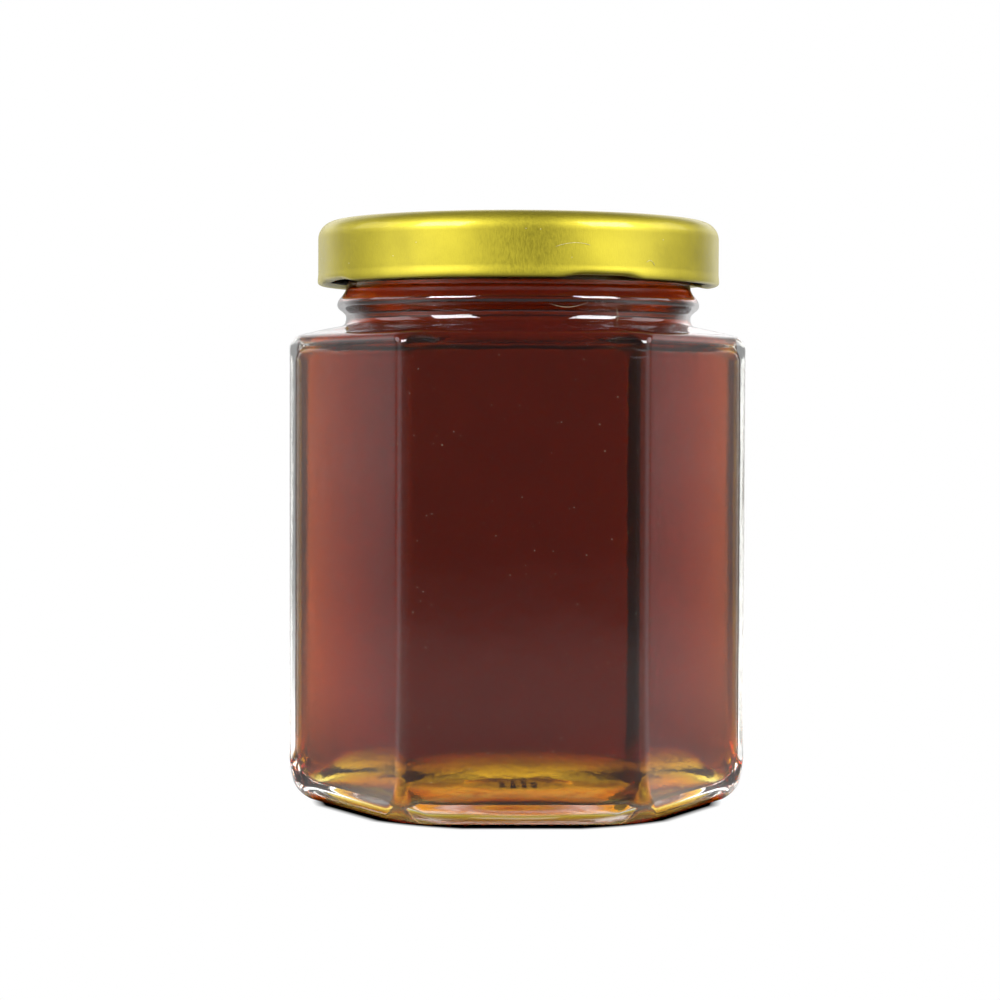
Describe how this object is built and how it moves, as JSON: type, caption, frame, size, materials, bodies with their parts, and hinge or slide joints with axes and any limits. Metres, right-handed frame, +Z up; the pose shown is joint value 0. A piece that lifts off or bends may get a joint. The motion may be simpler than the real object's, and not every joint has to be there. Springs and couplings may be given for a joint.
{
  "type": "honey jar",
  "caption": "Hexagonal clear glass jar filled with dark honey up into its round neck and shut by a gold lug lid.",
  "frame": {"origin": "under the middle of the base, on the plane that the jar stands on", "axes": "+Z up through the lid, -Y out of the front face, +X and -X through two corners of the hexagon"},
  "size_m": [0.0758, 0.0664, 0.0959],
  "materials": {
    "glass": "clear, slightly wavy moulded glass",
    "honey": "dark red-brown honey, golden where it is thin",
    "gold_tinplate": "satin gold lacquer on tinplate"
  },
  "bodies": {
    "root": {"jar": "glass", "honey": "honey", "lid": "gold_tinplate"}
  },
  "joints": []
}
